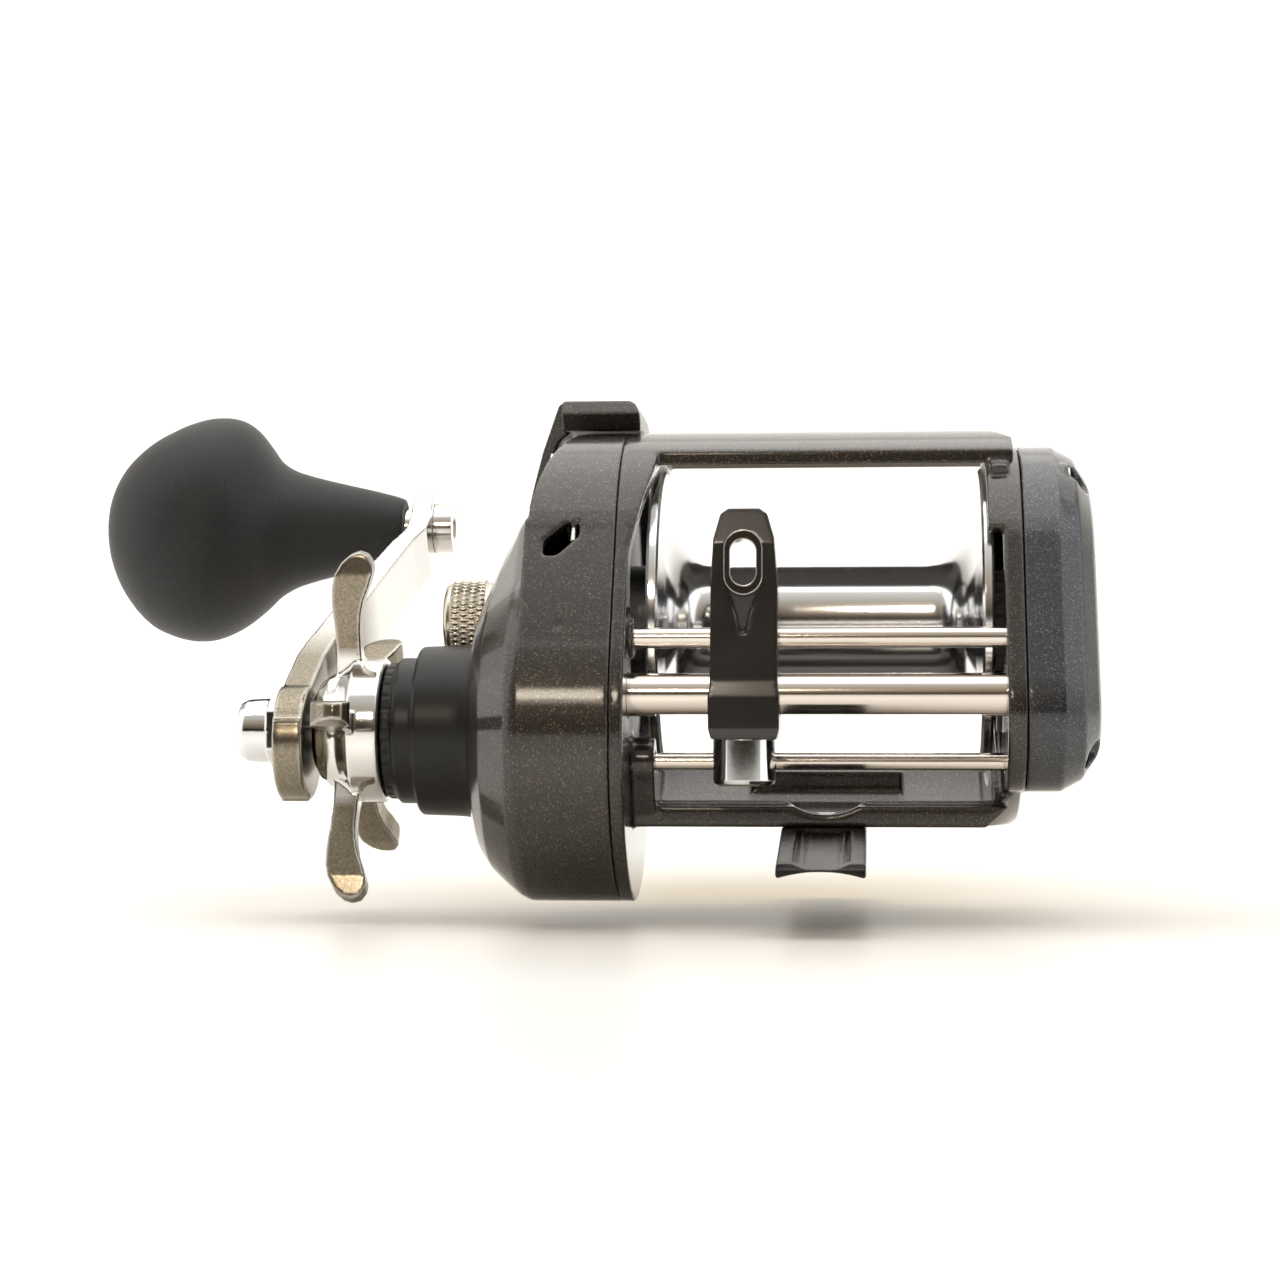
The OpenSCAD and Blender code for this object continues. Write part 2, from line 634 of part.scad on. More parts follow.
module drag_sleeve() lifted() color(steel) difference() {
  union() {
    bar(-65.4, -41.25, 5.9, main);
    bar(-42.4, -41.25, 9.2, main);
  }
  bar(-66, -41, main_bore, main);
}
module spring_washers() lifted() color(steel) for (x = [-66.05, -67.25])
  turned(main) polygon([[3.1, x], [5.6, x + 0.55], [5.6, x + 0.05], [3.1, x - 0.5]]);
module roller_clutch() lifted() color(steel) {
  tube(-58.4, -50.6, 9.0, 7.6, main);
  at(main) for (a = [0 : 30 : 330]) rotate([a, 0, 0]) bar(-58, -51, 0.8, [0, 6.78]);
}
module main_bushing() lifted() color(brass) tube(-32.38, -30.05, 4.0, 2.55, main);
// radius, X
hub_profile = [
  [9.02, -50.4], [9.4, -50.4], [9.4, -52.0], [13.4, -52.0], [13.2, -52.7], [13.0, -53.4],
  [12.9, -54.4], [12.7, -60.2], [12.4, -60.6], [11.1, -60.6], [11.0, -61], [11.0, -63.5],
  [10.6, -63.9], [10.3, -63.9], [10.3, -65.3], [10.0, -65.6], [7.0, -65.6], [7.0, -60],
  [9.02, -58.5]];
module hub_housing() lifted() color([0.07, 0.07, 0.07]) difference() {
  turned(main) polygon(hub_profile);
  at(main) for (a = [0 : 12 : 348]) rotate([a, 0, 0]) bar(-66, -64.2, 0.35, [0, 10.4]);
}
module hub_seal() lifted() color([0.05, 0.05, 0.05]) tube(-61.6, -60.6, 6.95, 5.98, main);

// Star blade: an S-shaped section with a paddle tip that leans to the reel
// X, Z
blade_side = [
  [-73.4, 4], [-73.2, 9], [-73.05, 12.6], [-73.3, 16], [-73.6, 19.4], [-73.55, 22],
  [-73.1, 24], [-72.0, 25.9], [-70.7, 27.0], [-69.3, star_r], [-68.1, 27.0],
  [-67.4, 25.8], [-67.3, 24.4], [-67.9, 22.4], [-68.8, 20.2], [-69.3, 18.0],
  [-69.5, 15.5], [-69.45, 12.6], [-69.2, 9], [-69.0, 4]];
// half width in Y, Z
blade_half = [
  [1.9, 3], [1.7, 10], [1.55, 14], [1.8, 20], [1.85, 24], [1.3, star_r - 0.6],
  [0.8, star_r + 0.4]];
module star_blade() intersection() {
  along_y(-2, 2) polygon(blade_side);
  along_x(-80, -60) polygon(concat(
    blade_half,
    [for (i = [len(blade_half) - 1 : -1 : 0]) [-blade_half[i][0], blade_half[i][1]]]));
}
module star_drag() lifted() color(alu) at(main) difference() {
  union() {
    turned() polygon([
      [0, -76.6], [5.8, -76.6], [7.3, -75.8], [8.5, -74.4], [9.2, -72.4], [10.2, -71.0],
      [10.9, -70.4], [10.9, -66.2], [10.5, -65.8], [0, -65.8]]);
    for (a = [12 : 72 : 300]) rotate([a, 0, 0]) star_blade();
  }
  bar(-80, -60, main_r + 0.06);
  bar(-68.0, -65, 6.1);
}

// Crank arm, drawn upright: root outside the star, stepped inwards to the knob
// X, Z
arm_side = [
  [-81.4, -14], [-77.0, -14], [-77.0, 12], [-76.5, 17], [-72.0, 45], [-69.8, 56],
  [-68.2, 61], [-68.2, arm_len + 8], [-71.7, arm_len + 8], [-71.7, 60], [-73.4, 55],
  [-76.4, 43], [-80.8, 17], [-81.4, 12]];
// Y, Z
arm_face = [
  [-7.2, -9], [7.2, -9], [7.6, 0], [6.2, 22], [5.2, 44], [5.0, arm_len],
  [-5.0, arm_len], [-5.2, 44], [-6.2, 22], [-7.6, 0]];
module handle_arm() lifted() color(alu) at(main) rotate([arm_angle - 90, 0, 0]) difference() {
  intersection() {
    along_y(-16, 16) polygon(arm_side);
    union() {
      along_x(-90, -60) polygon(arm_face);
      bar(-90, -60, 8.6, [0, -3.6]);
      bar(-90, -60, 6.0, [0, arm_len]);
    }
  }
  bar(-90, -70, main_r + 0.06);
  bar(-75, -65, 2.06, [0, arm_len]);
}
module handle_nut() lifted() color(alu) at(main) difference() {
  union() {
    bar(-83.7, -81.45, 5.9, fn = 6);
    turned(fn = 64) polygon([
      [0, -88.7], [3.1, -88.7], [4.2, -88.2], [4.7, -87.2], [4.8, -86.0], [4.9, -83.6],
      [0, -83.6]]);
  }
  bar(-87.5, -81, 2.63);
  bar(-90, -87, 1.0);
}
module nut_lock_screw() lifted() color(steel) {
  bar(-87.6, -84.5, 0.9, main);
  bar(-89.0, -88.72, 1.7, main);
  bar(-88.8, -87.5, 0.9, main);
}

// ---- knob, round its own axis ----
module knob_post() lifted() color(steel) at(knob) difference() {
  union() {
    bar(-122, -67.5, 2.0);
    bar(-68.15, -65.0, 4.3);
    bar(-122.6, -121.4, 3.2);
  }
  bar(-65.6, -63.6, 2.0, fn = 6);
}
// radius, X
knob_profile = [
  [0, -125.3], [3.4, -125.1], [7.2, -124.1], [10.6, -122.4], [13.6, -120.0], [16.0, -117.2],
  [18.0, -113.8], [19.3, -110], [19.5, -107], [18.8, -103.8], [17.0, -100.6], [14.4, -97.8],
  [11.8, -95.4], [10.2, -92.8], [9.2, -90], [8.4, -87], [7.6, -83.4], [6.7, -79.4],
  [5.7, -75.4], [5.1, -73.4], [0, -73.4]];
module handle_knob() lifted() color([0.05, 0.05, 0.055]) difference() {
  turned(knob) polygon(knob_profile);
  bar(-123, -73, 3.3, knob);
}
module knob_bushings() lifted() color(brass)
  for (x = [-120.8, -76.8]) tube(x, x + 3, 3.28, 2.05, knob);
module knob_spacer() lifted() color(steel) tube(-73.3, -71.75, 3.4, 2.04, knob);

// ---- cast control ----
module cast_control_cap() lifted() color([0.72, 0.69, 0.6]) difference() {
  turned() polygon([
    [0, -58.6], [5.3, -58.6], [6.0, -58.2], [6.0, -57.4], [6.6, -57.2], [6.6, -52.4],
    [6.1, -51.9], [6.1, -51.0], [5.05, -51.0], [5.05, -57.0], [0, -57.0]]);
  for (a = [0 : 10 : 350]) rotate([a, 0, 0]) bar(-57.0, -52.6, 0.24, [0, 6.72]);
}
module cast_control_washers() lifted() color(dark_grey) bar(-56.9, -55.8, 4.2);

// ---- level wind ----
module wind_drive_gear() lifted() color(ivory) difference() {
  at(main) along_x(wind_x[0], wind_x[1]) rotate(to_worm) gear(wind_teeth, gear_m);
  bar(-36, -33, main_bore, main);
  at(main) for (a = [0 : 60 : 300]) rotate([a, 0, 0]) bar(-36, -33, 2.6, [0, 8.6]);
}
module worm_gear() lifted() color(ivory) difference() {
  at(worm) along_x(wind_x[0], wind_x[1])
    rotate(to_worm + 180 + 180 / worm_teeth) gear(worm_teeth, gear_m);
  bar(-36, -33, 1.52, worm);
}
// crossed ring grooves, leaning both ways, stand in for the double thread
module worm_shaft() lifted() color(steel) difference() {
  union() {
    bar(-36, 27.6, 1.5, worm);
    bar(-25.5, 24, 2.3, worm);
  }
  for (s = [-1, 1], i = [0 : 8])
    translate([-21.6 + i * 5.1, worm[0], worm[1]]) rotate([0, s * 24, 0]) rotate([0, 90, 0])
      rotate_extrude($fn = 48) translate([2.62, 0]) circle(r = 0.55, $fn = 16);
}
module worm_bushings() lifted() color(brass) {
  tube(-30, -26.6, 2.58, 1.54, worm);
  tube(25, 27.6, 2.58, 1.54, worm);
}
module worm_tube() lifted() color(steel) difference() {
  tube(-30, 28.1, tube_r, 2.6, worm);
  // slot underneath for the pawl
  translate([-24, worm[0] - 1.25, worm[1] - 4]) cube([47, 2.5, 3]);
}
module pilot_bar() lifted() color(steel) bar(bars_x[0], bars_x[1], pilot_r, pilot);
module lower_bar() lifted() color(steel) bar(bars_x[0], bars_x[1], low_r, low);

guide_x = -11.2;
guide_w = 9.6;
edge_x = guide_x - guide_w / 2; // -X edge of the guide body
eye_z = 7.2;
eye_r = 2.45;
eye_reach = 1.9; // from the middle of the eye to the centre of each round end
// X, Z
guide_front = [
  [guide_x - 2.2, 15.0], [guide_x + 2.3, 15.0], [guide_x + 3.4, 14.2], [guide_x + 4.4, 10.8],
  [edge_x + 9.7, 4], [edge_x + 9.7, -10.4], [edge_x + 9.95, -12], [edge_x + 9.9, -16.6],
  [edge_x + 9.5, -18], [edge_x + 0.2, -18], [edge_x - 0.2, -16.6], [edge_x - 0.3, -12],
  [edge_x, -10.4], [edge_x + 0.1, 4], [guide_x - 4.3, 10.6], [guide_x - 3.3, 14.2]];
// Y, Z
guide_side = [
  [-31.4, 15], [-28.8, 15], [-27.0, 8], [-25.2, 2], [-24.4, -3], [-24.2, -16.5],
  [-24.4, -18], [-33.0, -18], [-33.3, -16.6], [-33.3, -12], [-32.9, -9.6], [-32.4, 2],
  [-32.4, 10]];
module line_guide() lifted() color([0.1, 0.09, 0.09]) difference() {
  intersection() {
    along_y(-35, -22) polygon(guide_front);
    along_x(-20, 0) polygon(guide_side);
  }
  bar(-20, 0, pilot_r + 0.06, pilot);
  bar(-20, 0, tube_r + 0.07, worm);
  // eye for the insert: two round ends joined
  for (s = [-1, 1]) translate([guide_x, -40, eye_z + s * eye_reach]) rotate([-90, 0, 0])
    cylinder(h = 30, r = eye_r, $fn = 48);
  translate([guide_x - eye_r, -40, eye_z - eye_reach]) cube([2 * eye_r, 30, 2 * eye_reach]);
  // tapering hollow under the eye
  translate([0, -32.9, 0]) rotate([4, 0, 0]) along_y(-6, 0.75) polygon([
    [guide_x - 2.7, 4.6], [guide_x + 2.7, 4.6], [guide_x + 0.3, -3.0], [guide_x - 0.5, -3.0]]);
  // pawl bore
  translate([guide_x, worm[0], -19]) {
    cylinder(h = 6, r = 1.36, $fn = 48);
    cylinder(h = 1.4, r = 2.26, $fn = 48);
  }
}
// upright slot with round ends, swept along Y at the eye
module eye_slot(y0, y1, width, height) translate([guide_x, 0, eye_z]) along_y(y0, y1) {
  r = width / 2;
  for (s = [1, -1]) translate([0, s * (height / 2 - r)]) circle(r = r, $fn = 48);
  translate([-r, -height / 2 + r]) square([width, height - width]);
}
module guide_insert() lifted() color(alu) difference() {
  union() {
    eye_slot(-32.6, -27.6, 4.86, 8.66);
    eye_slot(-33.0, -32.44, 5.5, 9.3);
  }
  eye_slot(-40, -20, 3.7, 6.6);
}
module pawl() lifted() color(steel) translate([guide_x, worm[0], 0]) {
  translate([0, 0, -18.55]) cylinder(h = 0.85, r = 2.2, $fn = 48);
  translate([0, 0, -18]) cylinder(h = 2.9, r = 1.3, $fn = 48);
  translate([-0.95, -0.5, -15.2]) cube([1.9, 1.0, 1.15]);
}
module pawl_cap() lifted() color(alu) translate([guide_x, worm[0], 0]) difference() {
  // radius, Z
  rotate_extrude($fn = 96) polygon([
    [0, -24.7], [3.7, -24.7], [4.3, -24.4], [4.55, -23.9], [4.55, -18.02], [2.3, -18.02],
    [2.3, -18.62], [0, -18.62]]);
  translate([-3, -0.4, -25.2]) cube([6, 0.8, 1.1]);
}

frame();
reel_foot();
foot_screws();
gear_side_cover();
gear_cover_screws();
palm_side_cover();
palm_cover_screws();
set_plate();
spool();
spool_shaft();
clutch_pin();
spool_bearing_gear_side();
spool_bearing_palm_side();
click_gear();
click_tongue();
clicker_button();
pinion_gear();
clutch_yoke();
yoke_posts();
yoke_springs();
clutch_cam();
clutch_lever();
lever_stud();
slot_pin();
drive_shaft();
drive_gear();
drag_fibre_washers();
drag_metal_washers();
ratchet_wheel();
ratchet_dog();
dog_pin();
drag_sleeve();
spring_washers();
roller_clutch();
main_bushing();
hub_housing();
hub_seal();
star_drag();
handle_arm();
handle_nut();
nut_lock_screw();
knob_post();
handle_knob();
knob_bushings();
knob_spacer();
cast_control_cap();
cast_control_washers();
wind_drive_gear();
worm_gear();
worm_shaft();
worm_bushings();
worm_tube();
pilot_bar();
lower_bar();
line_guide();
guide_insert();
pawl();
pawl_cap();
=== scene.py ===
"""A baitcasting fishing reel, in metres with +Z up.

The spool axis runs along X at y = 0, SPOOL_Z above the origin. The handle, star drag
and cast-control cap are on the -X side, and the camera looks along +Y.
"""
import json
import math

import bmesh
import bpy
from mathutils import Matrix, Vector


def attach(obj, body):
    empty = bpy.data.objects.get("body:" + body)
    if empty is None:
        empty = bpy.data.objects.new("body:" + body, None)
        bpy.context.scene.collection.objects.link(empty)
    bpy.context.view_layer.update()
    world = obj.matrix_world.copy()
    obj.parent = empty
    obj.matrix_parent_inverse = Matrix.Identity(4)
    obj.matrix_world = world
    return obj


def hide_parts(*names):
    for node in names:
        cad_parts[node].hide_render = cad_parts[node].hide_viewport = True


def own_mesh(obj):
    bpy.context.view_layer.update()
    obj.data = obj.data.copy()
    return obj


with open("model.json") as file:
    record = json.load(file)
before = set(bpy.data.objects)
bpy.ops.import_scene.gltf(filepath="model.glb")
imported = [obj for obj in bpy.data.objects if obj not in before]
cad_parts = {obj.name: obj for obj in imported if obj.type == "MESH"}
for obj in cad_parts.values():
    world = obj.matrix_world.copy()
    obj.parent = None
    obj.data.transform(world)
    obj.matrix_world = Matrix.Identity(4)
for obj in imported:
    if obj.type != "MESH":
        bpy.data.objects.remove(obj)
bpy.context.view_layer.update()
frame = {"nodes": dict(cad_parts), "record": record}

NODES = frame["nodes"]
SLOTS = {part["node"]: part["material_slot"] for part in frame["record"]["subparts"]}

# ------------------------------------------------------------------ driving dimensions
MM = 0.001
SPOOL_Z = 0.036
CRANK_OFFSET = 0.02015  # from the spool axis to the crank axis
CRANK_Y = -0.0111
CRANK_Z = SPOOL_Z - math.sqrt(CRANK_OFFSET ** 2 - CRANK_Y ** 2)
ARM_LENGTH = 0.0704  # from the crank axis to the knob axis
ARM_ANGLE = math.radians(29.7)  # above +Y
KNOB_Y = CRANK_Y + ARM_LENGTH * math.cos(ARM_ANGLE)
KNOB_Z = CRANK_Z + ARM_LENGTH * math.sin(ARM_ANGLE)
FLOOR_Z = SPOOL_Z - 0.0452

MATERIALS = {}


# ------------------------------------------------------------------ shader building
class Graph:
    """An emptied shader node tree, with short ways to add nodes to it."""

    def __init__(self, owner):
        owner.use_nodes = True
        self.tree = owner.node_tree
        self.tree.nodes.clear()

    def feed(self, node, inputs):
        """Link each input that is given a socket, and set the others."""
        for key, value in inputs.items():
            socket = node.inputs[key]
            if isinstance(value, bpy.types.NodeSocket):
                self.tree.links.new(value, socket)
            elif socket.type == "RGBA":
                socket.default_value = (*value, 1)
            else:
                socket.default_value = value

    def add(self, kind, inputs=None, **settings):
        node = self.tree.nodes.new(kind)
        for name, value in settings.items():
            setattr(node, name, value)
        self.feed(node, inputs or {})
        return node

    def coords(self, space="Object"):
        return self.add("ShaderNodeTexCoord").outputs[space]

    def mapped(self, scale=(1, 1, 1)):
        coords = self.coords()
        return self.add("ShaderNodeMapping", {"Scale": scale, "Vector": coords}).outputs[0]

    def noise(self, vector, scale, detail, roughness=0.5):
        inputs = {"Scale": scale, "Detail": detail, "Roughness": roughness, "Vector": vector}
        return self.add("ShaderNodeTexNoise", inputs).outputs["Fac"]

    def cells(self, vector, scale):
        return self.add("ShaderNodeTexVoronoi", {"Scale": scale, "Vector": vector}).outputs

    def split(self, kind, value):
        """The three channels of a colour or a vector."""
        return list(self.add(kind, {0: value}).outputs)

    def math(self, operation, first, second=0.0, *third):
        inputs = dict(enumerate((first, second, *third)))
        return self.add("ShaderNodeMath", inputs, operation=operation).outputs[0]

    def mix(self, factor, first, second, mode="MIX"):
        inputs = {0: factor, 6: first, 7: second}
        return self.add("ShaderNodeMix", inputs, data_type="RGBA", blend_type=mode).outputs[2]

    def ramp(self, factor, stops):
        """stops: (position, colour)"""
        node = self.add("ShaderNodeValToRGB", {0: factor})
        elements = node.color_ramp.elements
        while len(elements) < len(stops):
            elements.new(0.5)
        for element, (position, colour) in zip(elements, stops):
            element.position = position
            element.color = (*colour, 1)
        return node.outputs[0]

    def grey_ramp(self, factor, stops):
        """stops: (position, grey level)"""
        return self.ramp(factor, [(position, (level,) * 3) for position, level in stops])

    def bevel(self, radius):
        return self.add("ShaderNodeBevel", {"Radius": radius}, samples=4).outputs[0]

    def edge_mask(self, radius, edge=0.86, face=0.985):
        """1 near edges, 0 on open faces; edge and face are cosines of the normal's turn."""
        normal = self.add("ShaderNodeNewGeometry").outputs["Normal"]
        inputs = {0: normal, 1: self.bevel(radius)}
        turn = self.add("ShaderNodeVectorMath", inputs, operation="DOT_PRODUCT")
        inputs = {"From Min": face, "From Max": edge, "Value": turn.outputs["Value"]}
        return self.add("ShaderNodeMapRange", inputs).outputs[0]

    def bump(self, height, strength, distance, normal=None):
        inputs = {"Strength": strength, "Distance": distance, "Height": height}
        if normal is not None:
            inputs["Normal"] = normal
        return self.add("ShaderNodeBump", inputs).outputs[0]

    def wear(self, colour, edges, grain, amount, worn):
        """Blend towards the worn colour along the edges, broken up by the grain."""
        factor = self.math("MULTIPLY", edges, self.math("MULTIPLY", grain, amount))
        return self.mix(factor, colour, worn)

    def radius_about(self, y, z, axis_y, axis_z):
        """Distance from an axis that runs along X."""
        dy = self.math("SUBTRACT", y, axis_y)
        dz = self.math("SUBTRACT", z, axis_z)
        dy_squared = self.math("MULTIPLY", dy, dy)
        dz_squared = self.math("MULTIPLY", dz, dz)
        return self.math("SQRT", self.math("ADD", dy_squared, dz_squared))


class Surface(Graph):
    """A new material with one Principled shader, filed in MATERIALS."""

    def __init__(self, name):
        material = bpy.data.materials.new(name)
        super().__init__(material)
        MATERIALS[name] = material
        output = self.add("ShaderNodeOutputMaterial")
        self.shader = self.add("ShaderNodeBsdfPrincipled")
        self.feed(output, {0: self.shader.outputs[0]})

    def set(self, inputs):
        self.feed(self.shader, inputs)


def tint(colour, gain, lift=0.0):
    return tuple(min(1, channel * gain + lift) for channel in colour)


# ------------------------------------------------------------------ materials
def metallic_paint(name, base, flake, glint, roughness, coat):
    """Lacquer with fine flake under a clear coat."""
    bevel_radius = 0.00035
    s = Surface(name)
    vector = s.mapped()
    fine = s.cells(vector, scale=7800.0)["Color"]
    coarse = s.cells(vector, scale=6200.0)["Color"]
    fine_red, fine_green, fine_blue = s.split("ShaderNodeSeparateColor", fine)
    coarse_green = s.split("ShaderNodeSeparateColor", coarse)[1]
    flakes = s.grey_ramp(fine_red, [(0.0, 0), (0.62, 0.15), (1.0, 1)])
    glints = s.grey_ramp(coarse_green, [(0.0, 0), (0.90, 0), (0.99, 0.6)])
    cloud = s.noise(vector, scale=60.0, detail=3.0)
    colour = s.mix(flakes, base, flake)
    colour = s.mix(glints, colour, glint)
    tone = s.ramp(cloud, [(0.3, (0.88, 0.88, 0.88)), (0.7, (1.08, 1.06, 1.05))])
    colour = s.mix(1.0, colour, tone, mode="MULTIPLY")
    edges = s.edge_mask(bevel_radius * 1.3)
    grain = s.noise(vector, scale=900.0, detail=4.0)
    colour = s.wear(colour, edges, grain, amount=0.22, worn=tint(base, gain=3.2, lift=0.05))
    spread = 0.12  # how far the cloud moves the roughness
    rough = s.math("MULTIPLY_ADD", cloud, spread, roughness - spread / 2)
    bevel = s.bevel(bevel_radius)
    s.set({
        "Base Color": colour,
        "Metallic": 0.72,
        "Roughness": rough,
        "Normal": s.bump(fine_blue, strength=0.16, distance=0.00006, normal=bevel),
        "Coat Weight": coat,
        "Coat Roughness": 0.09,
    })
    peel = s.noise(vector, scale=420.0, detail=2.0)
    height = s.math("ADD", peel, s.math("MULTIPLY", fine_green, 0.35))
    s.set({"Coat Normal": s.bump(height, strength=0.045, distance=0.00012, normal=bevel)})


def plastic(name, base, roughness, grain_scale, grain_strength, coat, specular):
    bevel_radius = 0.0003
    s = Surface(name)
    vector = s.mapped()
    grain = s.noise(vector, scale=grain_scale, detail=3.0)
    cloud = s.noise(vector, scale=110.0, detail=4.0)
    edges = s.edge_mask(bevel_radius * 1.4)
    colour = s.mix(cloud, tint(base, gain=0.8), tint(base, gain=1.25))
    colour = s.wear(colour, edges, grain, amount=0.25, worn=tint(base, gain=2, lift=0.06))
    spread = 0.14
    s.set({
        "Base Color": colour,
        "Roughness": s.math("MULTIPLY_ADD", cloud, spread, roughness - spread / 2),
        "Coat Weight": coat,
        "Coat Roughness": 0.08,
        "Specular IOR Level": specular,
        "Normal": s.bump(grain, grain_strength, distance=0.00005, normal=s.bevel(bevel_radius)),
    })


def metal(name, base, roughness, brush, scratch, bevel_radius, spots, spread):
    """Bare metal with fine scratches, which run along the axis of the smallest brush scale."""
    s = Surface(name)
    cloud = s.noise(s.mapped(), scale=130.0, detail=5.0)
    scratches = s.noise(s.mapped(brush), scale=1.0, detail=5.0, roughness=0.65)
    edges = s.edge_mask(bevel_radius * 1.5)
    colour = s.mix(cloud, tint(base, gain=1 - spots), base)
    colour = s.mix(s.math("MULTIPLY", scratches, 0.25), colour, tint(base, gain=1.1))
    rough = s.math("MULTIPLY_ADD", scratches, spread, roughness - spread * 0.45)
    rough = s.math("MULTIPLY_ADD", edges, 0.1, rough)  # duller edges
    s.set({
        "Base Color": colour,
        "Metallic": 1.0,
        "Roughness": rough,
        "Normal": s.bump(scratches, scratch, distance=0.00005, normal=s.bevel(bevel_radius)),
    })
    return s


def spool_alloy():
    """Lathe-turned alloy, with fine rings round the spool axis."""
    base = (0.93, 0.93, 0.935)
    ring_density = 5200.0
    s = Surface("spool_alloy")
    coords = s.coords()
    x, y, z = s.split("ShaderNodeSeparateXYZ", coords)
    radius = s.radius_about(y, z, 0.0, SPOOL_Z)
    across = s.add("ShaderNodeCombineXYZ")
    s.feed(across, {
        0: s.math("MULTIPLY", radius, ring_density),
        1: s.math("MULTIPLY", x, ring_density),
    })
    rings = s.noise(across.outputs[0], scale=1.0, detail=3.0)
    cloud = s.noise(coords, scale=90.0, detail=4.0)
    roughness_spread, least_roughness = 0.1, 0.09
    s.set({
        "Base Color": s.mix(cloud, tint(base, gain=0.93), base),
        "Metallic": 1.0,
        "Roughness": s.math("MULTIPLY_ADD", rings, roughness_spread, least_roughness),
        "Normal": s.bump(rings, strength=0.035, distance=0.00004, normal=s.bevel(0.00025)),
    })


def knob_foam():
    """Dense closed-cell soft-touch skin: fine grain, a faint sheen, slight tone drift."""
    s = Surface("knob_foam")
    vector = s.mapped()
    cells = s.cells(vector, scale=2600.0)["Distance"]
    grain = s.noise(vector, scale=1500.0, detail=5.0)
    cloud = s.noise(vector, scale=45.0, detail=4.0)
    colour = s.ramp(cloud, [(0.3, (0.0085, 0.0085, 0.009)), (0.7, (0.0135, 0.0135, 0.014))])
    speckle = s.grey_ramp(grain, [(0.55, 0), (0.75, 0.012)])
    roughness_spread, least_roughness = 0.16, 0.50
    s.set({
        "Base Color": s.mix(1.0, colour, speckle, mode="ADD"),
        "Roughness": s.math("MULTIPLY_ADD", grain, roughness_spread, least_roughness),
        "Sheen Weight": 0.12,
        "Sheen Roughness": 0.4,
        "Specular IOR Level": 0.42,
    })
    height = s.math("ADD", s.math("MULTIPLY", cells, 0.6), grain)
    s.set({"Normal": s.bump(height, strength=0.22, distance=0.00006)})


def polished_alloy():
    """Polished alloy whose flat faces carry a brown painted reflection of the dim room inside
    bright rims.
    """
    reach = 0.04  # radius at which the painted reflection ramps end
    split_x = -0.0767  # the root zone is outboard of this, the blade zone inboard
    s = metal("polished_alloy", (0.80, 0.79, 0.77), roughness=0.11, brush=(260, 1400, 1400),
              scratch=0.03, bevel_radius=0.00025, spots=0.06, spread=0.1)
    coords = s.coords()
    x, y, z = s.split("ShaderNodeSeparateXYZ", coords)
    radius = s.radius_about(y, z, CRANK_Y, CRANK_Z)

    def zone(side, stops):
        """stops: (radius as a part of reach, how much painted reflection)"""
        level = s.grey_ramp(s.math("MULTIPLY", radius, 1 / reach), stops)
        return s.math("MULTIPLY", level, s.math(side, x, split_x))

    blade = zone("GREATER_THAN", [(0.0, 0), (0.285, 0), (0.33, 1), (0.70, 1), (0.95, 0)])
    root = zone("LESS_THAN", [(0.0, 1), (0.32, 1), (0.62, 0.25), (0.9, 0)])
    flat = s.math("SUBTRACT", 1.0, s.edge_mask(0.0007, edge=0.93, face=0.995))
    painted_reflection_mask = s.math("MULTIPLY", s.math("MAXIMUM", blade, root), flat)
    grain = s.noise(coords, scale=2600.0, detail=3.0)
    # painted reflection: the brown of the dim room put into the flat faces' colour; those faces are
    # also made rougher
    dark = s.ramp(grain, [(0.35, (0.20, 0.17, 0.125)), (0.65, (0.30, 0.262, 0.20))])
    polished = s.shader.inputs["Base Color"].links[0].from_socket
    s.set({"Base Color": s.mix(painted_reflection_mask, polished, dark)})
    rough = s.shader.inputs["Roughness"].links[0].from_socket
    s.set({"Roughness": s.math("MULTIPLY_ADD", painted_reflection_mask, 0.12, rough)})


# name, base colour, flake colour, glint colour, roughness, coat weight
PAINTS = [
    ("frame_paint", (0.015, 0.0125, 0.011), (0.046, 0.037, 0.030), (0.22, 0.16, 0.10), 0.36, 1.0),
    ("cover_paint", (0.017, 0.0147, 0.013), (0.054, 0.045, 0.038), (0.26, 0.195, 0.125), 0.36, 1.0),
    ("palm_paint", (0.019, 0.0205, 0.0235), (0.056, 0.061, 0.068), (0.20, 0.225, 0.26), 0.4, 1.0),
    ("lever_paint", (0.026, 0.022, 0.0195), (0.072, 0.061, 0.053), (0.20, 0.16, 0.12), 0.42, 0.6),
]
# name, base colour, roughness, grain scale, grain strength, coat weight, specular level
PLASTICS = [
    ("foot_paint", (0.0055, 0.0048, 0.0043), 0.26, 500.0, 0.04, 0.0, 0.28),
    ("guide_black", (0.010, 0.008, 0.0068), 0.25, 2400.0, 0.05, 0.5, 0.5),
    ("hub_plastic", (0.0065, 0.006, 0.0052), 0.36, 2600.0, 0.14, 0.0, 0.36),
    ("black_plastic", (0.018, 0.018, 0.018), 0.45, 2600.0, 0.16, 0.0, 0.5),
    ("white_acetal", (0.80, 0.78, 0.71), 0.42, 1200.0, 0.06, 0.0, 0.5),
    ("seal_rubber", (0.02, 0.02, 0.02), 0.7, 1500.0, 0.2, 0.0, 0.5),
    ("drag_fibre", (0.05, 0.05, 0.05), 0.5, 1400.0, 0.3, 0.0, 0.5),
]
